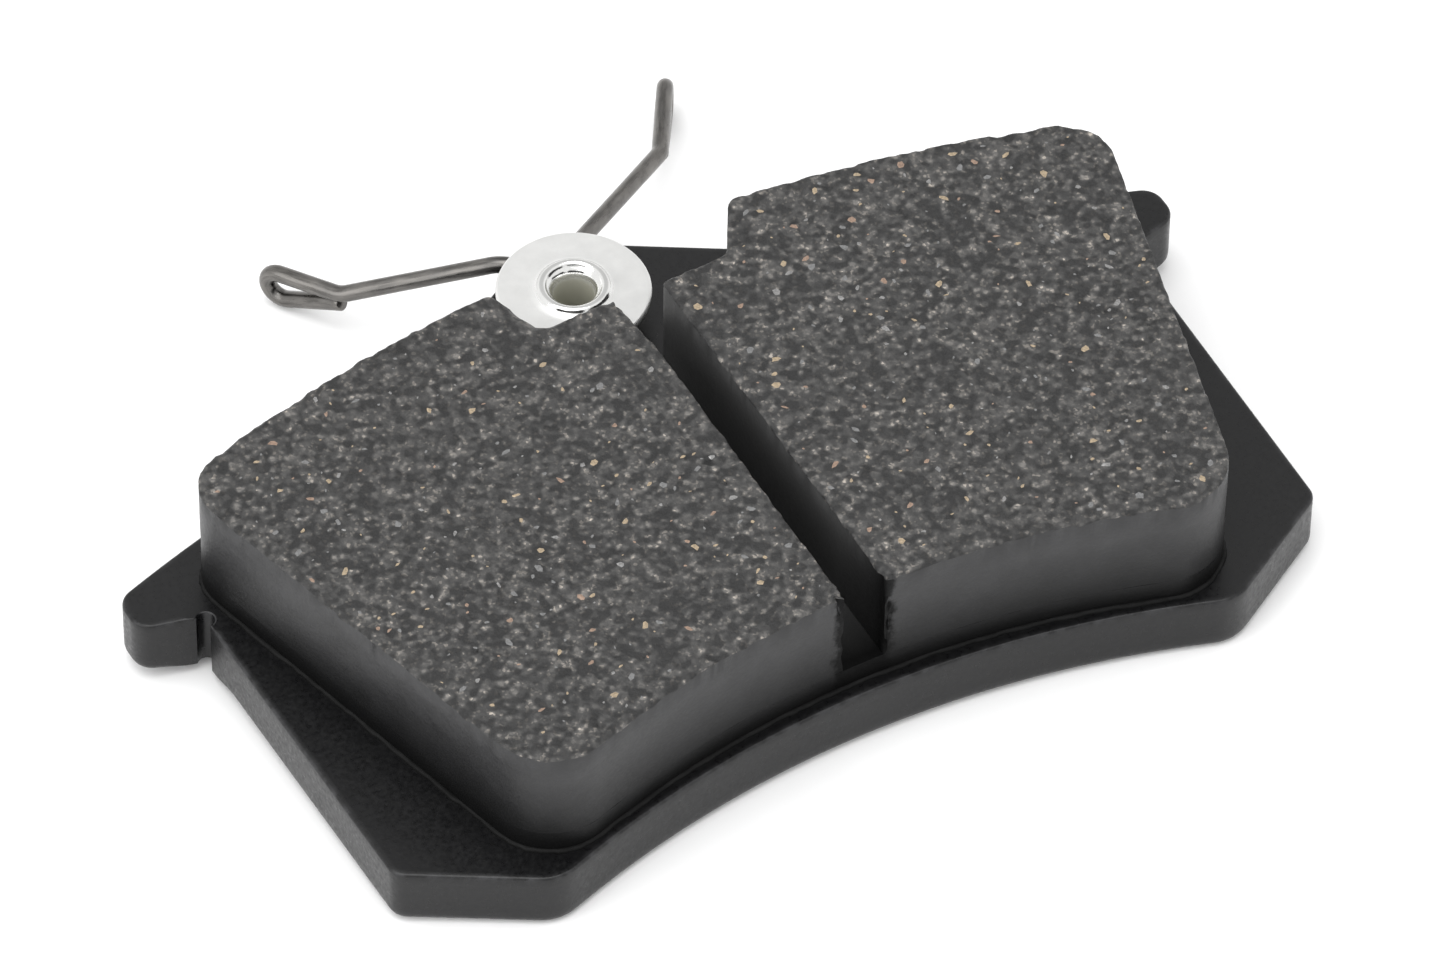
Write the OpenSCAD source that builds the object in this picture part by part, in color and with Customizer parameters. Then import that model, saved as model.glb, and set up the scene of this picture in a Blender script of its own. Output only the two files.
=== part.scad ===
// Disc brake pad with a riveted wire spring.
// Millimetres. The origin is the middle of the back face, +Z points out through
// the lining to the disc, +Y points away from the wheel axle, +X along the width.

/* [Backing plate] */
// Thickness of the steel backing plate
plate_thickness = 5; // [4:0.1:6.5]
// Width over the tips of the two ears
overall_width = 87; // [84:0.5:92]
// Width between the plate sides just under the ears
body_width = 77.5; // [75:0.5:79]
// Radius of the hollow lower edge
lower_arc_radius = 80; // [74:1:95]
// Height of the hollow lower edge at mid width, below the origin
lower_arc_depth = 21.35; // [20:0.05:22.5]
// Radius of the curved upper edge
upper_arc_radius = 127; // [120:1:135]
// Height of the curved upper edge at mid width, above the origin
upper_arc_height = 19.9; // [19:0.1:20.5]
// Height of the rivet tab above the origin
tab_height = 26.6; // [25.5:0.1:28]
// Half width of the flat on top of the rivet tab
tab_half_flat = 4.6; // [3.5:0.1:6]
// Radius of the two ear tips
ear_tip_radius = 1.7; // [0.8:0.1:1.9]
// Radius of the small relief cut at the root of each ear
ear_relief_radius = 0.7; // [0.4:0.1:1]

/* [Lining] */
// Height of the lining stack above the plate
lining_height = 10; // [6:0.1:12]
// Thickness of the adhesive film under the lining
bond_thickness = 0.3; // [0.2:0.05:0.5]
// Edge of the adhesive film squeezed out past the lining
bond_overhang = 0.35; // [0.1:0.05:0.6]
// Height of the bottom of the slot above the plate
slot_floor = 2; // [1:0.1:4]
// Width of the middle slot
slot_width = 3.3; // [2.5:0.1:5]
// Half width of the lining at its widest, under the upper corners
lining_half_width = 37.2; // [36:0.1:37.6]
// Half width of the lining near its lower corners
lining_half_foot = 30; // [29:0.1:31]
// Radius of the lining's curved top edge
lining_top_radius = 119; // [112:1:130]
// Height of that edge at mid width, above the origin
lining_top_height = 18.5; // [18:0.1:18.8]
// Radius of the lining's hollow lower edge
lining_low_radius = 74; // [70:1:90]
// Depth of that edge at mid width, below the origin
lining_low_depth = 20.2; // [19:0.1:20.5]
// Radius of the lining's lower outer corners
lower_corner_radius = 5; // [3:0.5:6]
// Radius of the lining's upper outer corners
upper_corner_radius = 4; // [2:0.5:5]
// Height of the bottom of the cut-out round the rivet, above the origin
cutout_floor = 13.2; // [12.5:0.1:14]

/* [Rivet] */
// Distance of the rivet above the origin
rivet_height = 20.9; // [20.4:0.1:22.2]
// Distance of the rivet to the right of mid width
rivet_side = -1.35; // [-2:0.05:1]
// Diameter of the large flange
flange_diameter = 11.6; // [11:0.1:12.2]
// Thickness of the flange
flange_thickness = 0.6; // [0.5:0.05:1]
// Diameter of the shank, and of the hole in the plate
shank_diameter = 4.3; // [4:0.1:4.5]
// Diameter of the hole down the rivet
rivet_bore = 3; // [2:0.1:3.4]
// Diameter of the flared tail
tail_diameter = 6.6; // [5.5:0.1:7.5]

/* [Spring] */
// Diameter of the spring wire
wire_diameter = 1.3; // [1:0.05:1.4]
// Radius of the coil round the rivet, to the middle of the wire
coil_radius = 3; // [2.95:0.05:3.2]
// Angle of each arm above the pad's width
arm_angle = 35.1; // [28:0.1:38]
// Distance from the rivet at which each arm leaves the flange
arm_start = 6.8; // [6.6:0.1:8]
// Length of the left arm seen from above, flange to hook
left_arm_reach = 11.8; // [9:0.1:17]
// Length of the right arm seen from above, flange to hook
right_arm_reach = 14.5; // [9:0.1:17]
// Height at which the arms reach their hooks
hook_height = 2.4; // [0:0.1:3]
// Length of the straight leg of the left hook
left_hook_leg = 5.3; // [3:0.1:8]
// Length of the straight leg of the right hook
right_hook_leg = 7.5; // [3:0.1:8]
// Radius of the turned-back end of each hook
hook_radius = 1.25; // [1.1:0.05:2]

/* [Hidden] */
$fn = 96;
// roundings sit this far towards their corner, so that they cross its edges
round_ease = 0.004;
// small overlap that lets cutting shapes pass right through
eps = 0.01;

half_body = body_width / 2;
half_ear = overall_width / 2;
lower_arc_centre = [0, -lower_arc_depth - lower_arc_radius];
upper_arc_centre = [0, upper_arc_height - upper_arc_radius];
// corners of the plate, right-hand half
heel_corner = [38, -20.3];
toe_corner = [27.6, -26.45];
toe_radius = 3.5;
heel_radius = 1.5;
ear_root_low = 7.8;
ear_tip_low = 8.9;
tab_foot = [18.5, 18.3];
tab_corner_radius = 2;

film_top = plate_thickness + bond_thickness;
floor_z = plate_thickness + slot_floor;
lining_top_z = plate_thickness + lining_height;
// side edge of the lining, as a slope between two heights
side_high_y = 7.5;
side_low_y = -19.6;
side_slope = (lining_half_width - lining_half_foot) / (side_high_y - side_low_y);
cutout_half_floor = 7.2;
cutout_half_top = 10.2;
cutout_radius = 2;
cutout_top_radius = 1.3;
slot_corner_radius = 0.6;

wire_radius = wire_diameter / 2;
wire_gap = 0.1;
low_wire_z = plate_thickness + wire_radius + wire_gap;
high_wire_z = low_wire_z + wire_diameter + wire_gap;
flange_z = high_wire_z + wire_radius + wire_gap;
flange_top_z = flange_z + flange_thickness;
lip_radius = 2.7;
lip_rise = 0.45;
tail_depth = 1.25;
tail_inset = 0.1;
rivet_point = [rivet_side, rivet_height];

// steps in the one turn of the coil and in the bend of each hook
coil_steps = 10;
bend_steps = 6;
coil_sweep = 360 - 2 * arm_angle;
// the joins in the wire are a hair thicker than the wire
join_radius = wire_radius + 0.06;
// upright pin-like knuckle at the root of each arm, on its flexing axis
knuckle_radius = wire_radius;
wire_sides = 24;
// point where each arm leaves the flange, right-hand side, from the rivet
arm_root_along = sqrt(arm_start * arm_start - coil_radius * coil_radius);
arm_root = [-sin(arm_angle), cos(arm_angle)] * coil_radius
         + [cos(arm_angle), sin(arm_angle)] * arm_root_along;
// direction of the hook leg, seen from above and in height
hook_heading = 58.5;
hook_rise = -6;
// how far the hook curls past a half turn
hook_curl = 18.5;

function unit(v) = v / norm(v);
// centre of a rounding between a straight edge and an arc
function arc_corner(p, u, n, r, a, big, side) =
    let (q = p + n * r, m = q - a, b = m * u, c = m * m - pow(big + side * r, 2))
    q + u * (-b - side * sqrt(b * b - c));

// wedge taken off a corner to leave a true arc
module corner_wedge(c, t1, t2, b, r) {
    difference() {
        polygon([c, c + 2 * (t1 - c), c + 1.6 * (b - c), c + 2 * (t2 - c)]);
        translate(c + unit(b - c) * round_ease) circle(r = r);
    }
}

// rounding between two straight edges that meet at b
module round_corner(a, b, d, r) {
    u = unit(a - b);
    w = unit(d - b);
    half = acos(u * w) / 2;
    c = b + unit(u + w) * r / sin(half);
    corner_wedge(c, b + u * r / tan(half), b + w * r / tan(half), b, r);
}

// rounding between a straight edge and an arc; side is 1 where the arc is
// hollow and -1 where it bulges
module round_arc_corner(p, u, n, r, a, big, side) {
    c = arc_corner(p, u, n, r, a, big, side);
    t2 = c - side * unit(c - a) * r;
    t1 = c - n * r;
    corner_wedge(c, t1, t2, c - unit(n + side * unit(c - a)) * r * 1.6, r);
}

module both_sides() {
    children();
    mirror([1, 0, 0]) children();
}

// what is cleared away above the curved upper edge, beside the rivet tab
module above_plate() {
    clear_x = half_ear + 1;
    clear_y = ear_tip_low + 2;
    difference() {
        polygon([[-clear_x, clear_y], [clear_x, clear_y],
                 [clear_x, tab_height + 5], [-clear_x, tab_height + 5]]);
        translate(upper_arc_centre) circle(r = upper_arc_radius, $fn = 360);
        polygon([[-tab_foot.x, clear_y - 1], [tab_foot.x, clear_y - 1],
                 tab_foot, [tab_half_flat, tab_height], [tab_half_flat, tab_height + 6],
                 [-tab_half_flat, tab_height + 6], [-tab_half_flat, tab_height],
                 [-tab_foot.x, tab_foot.y]]);
    }
}

module plate_outline() {
    toe_edge = unit(toe_corner - heel_corner);
    difference() {
        polygon([[-heel_corner.x, heel_corner.y], [-toe_corner.x, toe_corner.y],
                 toe_corner, heel_corner, [half_body, ear_root_low],
                 [half_ear, ear_tip_low], [half_ear, tab_height],
                 [-half_ear, tab_height], [-half_ear, ear_tip_low],
                 [-half_body, ear_root_low]]);
        above_plate();
        translate(lower_arc_centre) circle(r = lower_arc_radius, $fn = 360);
        both_sides() {
            round_arc_corner(toe_corner, toe_edge, [toe_edge.y, -toe_edge.x],
                             toe_radius, lower_arc_centre, lower_arc_radius, 1);
            round_corner(toe_corner, heel_corner, [half_body, ear_root_low],
                         heel_radius);
            round_corner([half_body, ear_root_low], [half_ear, ear_tip_low],
                         [half_ear, tab_height], ear_tip_radius);
            round_arc_corner([half_ear, ear_tip_low], [0, 1], [-1, 0], ear_tip_radius,
                             upper_arc_centre, upper_arc_radius, -1);
            round_corner(tab_foot, [tab_half_flat, tab_height],
                         [-tab_half_flat, tab_height], tab_corner_radius);
            translate([half_body, ear_root_low - 0.3]) circle(r = ear_relief_radius);
        }
        translate(rivet_point) circle(d = shank_diameter);
    }
}

module backing_plate() {
    color([0.08, 0.08, 0.085]) difference() {
        linear_extrude(plate_thickness) plate_outline();
        translate([rivet_side, rivet_height, -eps])
            cylinder(h = tail_depth + eps, d1 = tail_diameter + 2 * eps,
                     d2 = shank_diameter);
    }
}

// outline of the whole lining, grown by g all round
module lining_outline(g) {
    low_centre = [0, -lining_low_depth - lining_low_radius];
    top_centre = [0, lining_top_height - lining_top_radius];
    low_r = lining_low_radius - g;
    top_r = lining_top_radius + g;
    up = unit([side_slope, 1]);
    inward = [-up.y, up.x];
    reach_low = -28;
    reach_high = 20;
    function side_x(y) = lining_half_foot + side_slope * (y - side_low_y) + g / up.y;
    foot = [side_x(side_low_y), side_low_y];
    difference() {
        intersection() {
            polygon([[-side_x(reach_low), reach_low], [side_x(reach_low), reach_low],
                     [side_x(reach_high), reach_high],
                     [-side_x(reach_high), reach_high]]);
            translate(top_centre) circle(r = top_r, $fn = 360);
        }
        translate(low_centre) circle(r = low_r, $fn = 360);
        both_sides() {
            round_arc_corner(foot, -up, inward, lower_corner_radius + g,
                             low_centre, low_r, 1);
            round_arc_corner(foot, up, inward, upper_corner_radius + g,
                             top_centre, top_r, -1);
        }
        cutout_outline(g);
        both_sides() {
            flank = unit([cutout_half_top - cutout_half_floor,
                          lining_top_height - cutout_floor]);
            side = [flank.y, -flank.x];
            round_arc_corner([cutout_half_floor, cutout_floor] - side * g, flank, side,
                             cutout_top_radius + g, top_centre, top_r, -1);
        }
    }
}

// cut-out in the lining that clears the rivet flange
module cutout_outline(g) {
    flank = unit([cutout_half_top - cutout_half_floor,
                  lining_top_height - cutout_floor]);
    floor_y = cutout_floor + g;
    half_floor = cutout_half_floor - g * (1 - flank.x) / flank.y;
    far = 8;
    a = [half_floor, floor_y];
    b = a + flank * far;
    difference() {
        polygon([[-b.x, b.y], [-a.x, a.y], a, b]);
        both_sides() round_corner([0, floor_y], a, b, cutout_radius);
    }
}

module bond_layer() {
    color([0.16, 0.15, 0.14]) translate([0, 0, plate_thickness])
        linear_extrude(bond_thickness) lining_outline(bond_overhang);
}

module underlayer() {
    color([0.17, 0.17, 0.175]) translate([0, 0, film_top])
        linear_extrude(floor_z - film_top) lining_outline(0);
}

module friction_block() {
    far = 60;
    translate([0, 0, floor_z]) linear_extrude(lining_top_z - floor_z)
        difference() {
            lining_outline(0);
            translate([slot_width / 2 - far, -far / 2]) square([far, far]);
            round_corner([slot_width / 2, 0], [slot_width / 2, cutout_floor],
                         [cutout_half_floor, cutout_floor], slot_corner_radius);
        }
}

module friction_right() {
    color([0.27, 0.27, 0.275]) friction_block();
}

module friction_left() {
    color([0.27, 0.27, 0.275]) mirror([1, 0, 0]) friction_block();
}

module rivet() {
    bore = rivet_bore / 2;
    shank = shank_diameter / 2;
    flange = flange_diameter / 2;
    tail = tail_diameter / 2;
    color([0.82, 0.83, 0.84]) translate(rivet_point) rotate_extrude()
        polygon([[bore + 0.9, tail_inset], [tail - 0.05, tail_inset],
                 [shank, tail_depth], [shank, flange_z], [flange, flange_z],
                 [flange, flange_top_z - 0.15], [flange - 0.15, flange_top_z],
                 [lip_radius + 0.5, flange_top_z],
                 [lip_radius, flange_top_z + lip_rise * 0.7],
                 [lip_radius - 0.25, flange_top_z + lip_rise],
                 [lip_radius - 0.55, flange_top_z + lip_rise * 0.8],
                 [bore + 0.25, flange_top_z - 0.2], [bore, flange_top_z - 0.8],
                 [bore, tail_depth + 0.4]]);
}

// join between two pieces of wire that leave p towards a and b, turned so that
// both meet it on its equator
module join(a, p, b) {
    u = unit(a - p);
    w = unit(b - p);
    axis = unit(cross(u, w));
    outer = -unit(u + w);
    side = cross(axis, outer);
    multmatrix([[outer.x, side.x, axis.x, p.x], [outer.y, side.y, axis.y, p.y],
                [outer.z, side.z, axis.z, p.z], [0, 0, 0, 1]])
        sphere(r = join_radius, $fn = wire_sides);
}

// wire that runs through a list of points
module wire_run(points) {
    count = len(points);
    for (k = [1 : count - 1]) {
        d = points[k] - points[k - 1];
        translate(points[k - 1]) rotate([0, acos(d.z / norm(d)), atan2(d.y, d.x)])
            cylinder(h = norm(d), r = wire_radius, $fn = wire_sides);
        if (k < count - 1) join(points[k - 1], points[k], points[k + 1]);
    }
}

module on_rivet() {
    translate(rivet_point) children();
}

// where the coil's own wire stops, just short of the arm's knuckle
function stub_end(root, touch) = root + unit(touch - root) * (knuckle_radius + 0.05);

// one turn of wire round the shank, falling so that the arms cross one above
// the other
module spring_coil() {
    turn = [for (k = [0 : coil_steps])
            let (f = k / coil_steps, a = 90 - arm_angle - coil_sweep * f)
            [coil_radius * cos(a), coil_radius * sin(a),
             high_wire_z - (high_wire_z - low_wire_z) * f]];
    color([0.45, 0.44, 0.42]) on_rivet()
        wire_run(concat([stub_end([-arm_root.x, arm_root.y, high_wire_z], turn[0])],
                        turn,
                        [stub_end([arm_root.x, arm_root.y, low_wire_z],
                                  turn[coil_steps])]));
}

// arm and hook, right-hand side, starting at height z
module spring_arm(z, arm_reach, hook_leg) {
    arm_tip = arm_root + [cos(arm_angle), sin(arm_angle)] * arm_reach;
    level = [cos(hook_heading), sin(hook_heading), 0];
    up = [0, 0, 1];
    out = level * cos(hook_rise) + up * sin(hook_rise);
    down = level * sin(hook_rise) - up * cos(hook_rise);
    start = [arm_tip.x, arm_tip.y, hook_height];
    centre = start + out * hook_leg + down * hook_radius;
    bend = [for (k = [0 : bend_steps])
            let (a = (180 + hook_curl) * k / bend_steps)
            centre + (out * sin(a) - down * cos(a)) * hook_radius];
    last = bend[bend_steps]
         + (-out * cos(hook_curl) - down * sin(hook_curl)) * hook_leg;
    root = [arm_root.x, arm_root.y, z];
    wire_run(concat([root, start], bend, [last]));
    translate(root - up * wire_radius) cylinder(h = wire_diameter, r = knuckle_radius);
}

module spring_arm_right() {
    color([0.45, 0.44, 0.42]) on_rivet() 
        spring_arm(low_wire_z, right_arm_reach, right_hook_leg);
}

module spring_arm_left() {
    color([0.45, 0.44, 0.42]) on_rivet() mirror([1, 0, 0])
        spring_arm(high_wire_z, left_arm_reach, left_hook_leg);
}

backing_plate();
bond_layer();
underlayer();
friction_left();
friction_right();
rivet();
spring_coil();
spring_arm_left();
spring_arm_right();
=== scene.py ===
import math
import bpy
import numpy as np
from mathutils import Matrix, Vector, noise
from mathutils.geometry import delaunay_2d_cdt


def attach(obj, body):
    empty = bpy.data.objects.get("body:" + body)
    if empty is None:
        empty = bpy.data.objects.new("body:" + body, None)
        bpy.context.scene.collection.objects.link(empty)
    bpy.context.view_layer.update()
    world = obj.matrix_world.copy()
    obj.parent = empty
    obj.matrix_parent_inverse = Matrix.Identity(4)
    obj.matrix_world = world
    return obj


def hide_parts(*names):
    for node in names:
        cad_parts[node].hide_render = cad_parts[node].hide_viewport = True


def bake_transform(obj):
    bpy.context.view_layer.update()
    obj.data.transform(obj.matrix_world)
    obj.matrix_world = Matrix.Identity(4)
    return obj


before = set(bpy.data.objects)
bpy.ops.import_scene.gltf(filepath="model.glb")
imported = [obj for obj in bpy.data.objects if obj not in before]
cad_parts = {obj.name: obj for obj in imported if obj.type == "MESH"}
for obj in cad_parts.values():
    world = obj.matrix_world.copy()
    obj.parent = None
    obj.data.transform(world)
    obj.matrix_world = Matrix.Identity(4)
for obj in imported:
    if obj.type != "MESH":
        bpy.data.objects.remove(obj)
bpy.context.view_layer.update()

# outlines and sizes are in millimetres, and mm turns them into metres
mm = 0.001
up = np.array([0.0, 0.0, 1.0])


def vec(*values):
    return np.array(values, float)


def unit(v):
    return v / np.linalg.norm(v)


def lineTo(path, end, step):
    start = path[-1]
    count = max(1, int(math.ceil(np.linalg.norm(end - start) / step)))
    for k in range(1, count + 1):
        path.append(start + (end - start) * k / count)


def arcTo(path, centre, end, turn, step):
    # turn is 1 for anticlockwise and -1 for clockwise
    a, b = path[-1] - centre, end - centre
    radius = np.linalg.norm(a)
    first = math.atan2(a[1], a[0])
    sweep = (math.atan2(b[1], b[0]) - first) * turn % (2 * math.pi)
    count = max(2, int(math.ceil(radius * sweep / step)))
    for k in range(1, count + 1):
        angle = first + turn * sweep * k / count
        path.append(centre + radius * vec(math.cos(angle), math.sin(angle)))
    path[-1] = end


def straightCorner(a, b, c, radius):
    # rounding between two straight edges that meet at b
    u, w = unit(a - b), unit(c - b)
    half = math.acos(float(u @ w)) / 2
    run = radius / math.tan(half)
    return b + u * run, b + unit(u + w) * radius / math.sin(half), b + w * run


def arcCorner(p, u, inward, radius, centre, big, side):
    # rounding between a straight edge and an arc; side is 1 where the arc is hollow
    q = p + inward * radius
    m = q - centre
    b = float(m @ u)
    c = float(m @ m) - (big + side * radius) ** 2
    mid = q + u * (-b - side * math.sqrt(b * b - c))
    return mid - inward * radius, mid, mid - side * unit(mid - centre) * radius


def roundEdge(path, onPath, mid, offPath, turn, step):
    lineTo(path, onPath, step)
    arcTo(path, mid, offPath, turn, step)


def mirrorHalf(half):
    # the half runs from the middle of the lower edge to the middle of the upper edge
    return np.array(half + [p * vec(-1, 1) for p in half[-2:0:-1]])


def inwardNormals(ring):
    along = np.roll(ring, -1, 0) - np.roll(ring, 1, 0)
    along /= np.linalg.norm(along, axis=1)[:, None]
    return np.stack([-along[:, 1], along[:, 0]], 1)


def softened(directions, rounds=8):
    # directions that turn gradually, so that neighbours pushed along them never cross
    for _ in range(rounds):
        directions = directions + np.roll(directions, 1, 0) + np.roll(directions, -1, 0)
        directions /= np.linalg.norm(directions, axis=1)[:, None]
    return directions


def distances(points, spot):
    return np.linalg.norm(points - spot, axis=1)


def eased(f):
    # 0 to 1 with a soft start and end
    f = np.clip(f, 0, 1)
    return f * f * (3 - 2 * f)


def atHeight(ring, z):
    return np.column_stack([ring, np.full(len(ring), z)])


def circle(centre, radius, z, count):
    turns = [2 * math.pi * k / count for k in range(count)]
    return [(centre[0] + radius * math.cos(t), centre[1] + radius * math.sin(t), z)
            for t in turns]


def insideRing(points, ring):
    # which points are inside the ring, and how far each is from its edge
    a, b = ring, np.roll(ring, -1, 0)
    inside = np.zeros(len(points), bool)
    gap = np.full(len(points), 1e9)
    for p, q in zip(a, b):
        d = q - p
        t = np.clip(((points - p) @ d) / max(float(d @ d), 1e-12), 0, 1)
        gap = np.minimum(gap, np.linalg.norm(points - p - t[:, None] * d, axis=1))
        if p[1] != q[1]:
            crosses = (points[:, 1] < p[1]) != (points[:, 1] < q[1])
            edgeX = p[0] + (points[:, 1] - p[1]) * d[0] / d[1]
            inside ^= crosses & (points[:, 0] < edgeX)
    return inside, gap


def grain(x, y, z, size):
    return noise.noise(Vector((x / size, y / size, z / size)))


def grainAlong(ring, z, size):
    return np.array([grain(x, y, z, size) for x, y in ring])


def makeMesh(name, points, faces, slots, materials, sharp=35.0):
    mesh = bpy.data.meshes.new(name)
    mesh.from_pydata([tuple(float(c) * mm for c in p) for p in points], [], faces)
    for material in materials:
        mesh.materials.append(material)
    mesh.polygons.foreach_set("material_index", slots)
    mesh.shade_smooth()
    mesh.set_sharp_from_angle(angle=math.radians(sharp))
    mesh.validate()
    obj = bpy.data.objects.new(name, mesh)
    bpy.context.scene.collection.objects.link(obj)
    return obj


def wallFaces(lower, upper):
    # quads between two rings of point numbers that run anticlockwise
    count = len(lower)
    return [(lower[k], lower[(k + 1) % count], upper[(k + 1) % count], upper[k])
            for k in range(count)]


def capFaces(ring, hole=None, extra=None, flakes=()):
    # fills a ring with triangles; returns the new points and the faces, and which
    # flake each face belongs to, or -1
    flat = [Vector(p) for p in ring]
    faces = [list(range(len(ring)))]
    if hole is not None:
        faces.append(list(range(len(flat), len(flat) + len(hole))))
        flat += [Vector(p) for p in hole]
    for flake in flakes:
        faces.append(list(range(len(flat), len(flat) + len(flake))))
        flat += [Vector(p) for p in flake]
    if extra is not None:
        flat += [Vector(p) for p in extra]
    out = delaunay_2d_cdt(flat, [], faces, 1, 1e-7, True)
    names = [min(ids) if ids else -1 for ids in out[3]]
    firstFlake = 1 if hole is None else 2
    kept, owner = [], []
    for face, ids in zip(out[2], out[5]):
        if 0 not in ids or (hole is not None and 1 in ids):
            continue
        kept.append(tuple(face))
        own = [i for i in ids if i >= firstFlake]
        owner.append(own[0] - firstFlake if own else -1)
    return np.array([tuple(p) for p in out[0]]), names, kept, owner


class Shell:
    # gathers rings, walls and caps into one closed mesh
    def __init__(self):
        self.points, self.faces, self.slots = [], [], []

    def ring(self, points):
        first = len(self.points)
        self.points += [tuple(p) for p in points]
        return list(range(first, len(self.points)))

    def wall(self, lower, upper, slot=0):
        faces = wallFaces(lower, upper)
        self.faces += faces
        self.slots += [slot] * len(faces)

    def walls(self, rings):
        for lower, upper in zip(rings, rings[1:]):
            self.wall(lower, upper)

    def cap(self, ring, facesUp, heights=None, slot=0, hole=None, extra=None,
            flakes=(), flakeSlots=None):
        # closes a ring; heights gives the height of each point inside it
        edge = np.array([self.points[k] for k in ring])
        holeEdge = None if hole is None else np.array([self.points[k] for k in hole])
        flat, names, faces, owner = capFaces(
            edge[:, :2], None if hole is None else holeEdge[:, :2], extra, flakes)
        known = list(ring) + (list(hole) if hole is not None else [])
        numbers = []
        for k, p in enumerate(flat):
            if 0 <= names[k] < len(known):
                numbers.append(known[names[k]])
                continue
            z = edge[0, 2] if heights is None else heights(p, names[k] - len(known))
            numbers.append(len(self.points))
            self.points.append((p[0], p[1], z))
        for face, own in zip(faces, owner):
            order = face if facesUp else face[::-1]
            self.faces.append(tuple(numbers[k] for k in order))
            self.slots.append(slot if own < 0 else flakeSlots[own])

    def build(self, name, materials, sharp=35.0):
        return makeMesh(name, self.points, self.faces, self.slots, materials, sharp)


def placeNoise(name, values, obj):
    layer = obj.data.attributes.new(name, "FLOAT", "POINT")
    layer.data.foreach_set("value", np.asarray(values, np.float32))


def newMaterial(name):
    material = bpy.data.materials.new(name)
    material.use_nodes = True
    return material, material.node_tree, material.node_tree.nodes["Principled BSDF"]


def feed(tree, socket, value):
    # links another node's output to the socket, or sets a plain value on it
    if isinstance(value, bpy.types.NodeSocket):
        tree.links.new(value, socket)
    else:
        socket.default_value = value


def addNode(tree, kind, settings=None, **inputs):
    node = tree.nodes.new(kind)
    for key, value in (settings or {}).items():
        setattr(node, key, value)
    for key, value in inputs.items():
        feed(tree, node.inputs[key], value)
    return node


def mathNode(tree, operation, *values):
    node = addNode(tree, "ShaderNodeMath", {"operation": operation})
    for socket, value in zip(node.inputs, values):
        feed(tree, socket, value)
    return node.outputs[0]


def vectorNode(tree, operation, output, *values):
    node = addNode(tree, "ShaderNodeVectorMath", {"operation": operation})
    for socket, value in zip(node.inputs, values):
        feed(tree, socket, value)
    return node.outputs[output]


def placeNode(tree):
    # where the point is on the piece, in metres
    return addNode(tree, "ShaderNodeTexCoord").outputs["Object"]


def grainNode(tree, size, detail=4.0, rough=0.55):
    # noise whose features are about this many millimetres across
    return addNode(tree, "ShaderNodeTexNoise", Vector=placeNode(tree), Scale=1 / (size * mm),
                   Detail=detail, Roughness=rough).outputs["Fac"]


def cellNode(tree, size, feature="F1", output="Color"):
    # cells about this many millimetres across
    return addNode(tree, "ShaderNodeTexVoronoi", {"feature": feature},
                   Vector=placeNode(tree), Scale=1 / (size * mm)).outputs[output]


def rampNode(tree, fac, stops):
    ramp = addNode(tree, "ShaderNodeValToRGB", Fac=fac)
    table = ramp.color_ramp
    while len(table.elements) < len(stops):
        table.elements.new(1.0)
    for element, (place, colour) in zip(table.elements, stops):
        element.position = place
        element.color = (*colour, 1.0)
    return ramp.outputs["Color"]


def rangeNode(tree, value, low, high, fromLow=0.0, fromHigh=1.0):
    node = addNode(tree, "ShaderNodeMapRange", Value=value)
    for key, limit in (("From Min", fromLow), ("From Max", fromHigh),
                       ("To Min", low), ("To Max", high)):
        node.inputs[key].default_value = limit
    return node.outputs["Result"]


def mixNode(tree, kind, fac, a, b):
    # the colour sockets of this node are the seventh and eighth
    node = addNode(tree, "ShaderNodeMix", {"data_type": "RGBA", "blend_type": kind})
    for number, value in ((0, fac), (6, a), (7, b)):
        feed(tree, node.inputs[number], value)
    return node.outputs[2]


def bumpNode(tree, height, depth, normal=None):
    node = addNode(tree, "ShaderNodeBump", Height=height, Distance=depth * mm, Strength=1.0)
    if normal is not None:
        tree.links.new(normal, node.inputs["Normal"])
    return node.outputs["Normal"]


def spanNode(tree, value, span, low, high):
    # goes from low to high while a length crosses a span given in millimetres
    return rangeNode(tree, value, low, high, span[0] * mm, span[1] * mm)


def opaque(colour):
    return (*colour, 1)


def scaled(colour, amount):
    return tuple(c * amount for c in colour)


def attributeNode(tree, name):
    return addNode(tree, "ShaderNodeAttribute", {"attribute_name": name}).outputs["Fac"]


plate = {
    "thickness": 5.0,
    "heel": vec(38, -20.3), "heelRadius": 1.5,
    "toe": vec(27.6, -26.45), "toeRadius": 3.5,
    "earRoot": vec(38.75, 7.8), "earLow": vec(43.5, 8.9), "earRadius": 1.7,
    "reliefCentre": vec(38.75, 7.5), "reliefRadius": 0.7,
    "lowArc": (vec(0, -101.35), 80.0), "highArc": (vec(0, -107.1), 127.0),
    "tabFoot": vec(18.5, 18.3), "tabCorner": vec(4.6, 26.6), "tabRadius": 2.0,
    "rolledEdge": 0.85, "rolledLeast": 0.12, "tightFrom": 1.0, "tightRun": 3.0,
    "topEdge": 0.22, "topEdgeByEar": 0.1, "rimInset": 0.3, "rimInsetByEar": 0.03,
    "rolledRub": 0.1, "topRub": (0.3, 0.8, 0.8, 0.35), "step": 0.5,
    "holeCentre": vec(-1.35, 20.9), "holeRadius": 2.15, "sinkRadius": 3.3, "sinkDepth": 1.25,
    "paint": (0.0024, 0.0024, 0.0027), "palePaint": (0.0042, 0.0042, 0.0047),
    "rubbed": (0.030, 0.030, 0.032), "gloss": 0.32, "shine": 0.40,
    "cloudSize": 9.0, "rubSize": 1.2, "peelSize": 0.9, "peelDepth": 0.014,
    "speckleSize": 0.35, "speckleDepth": 0.005,
}


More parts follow.
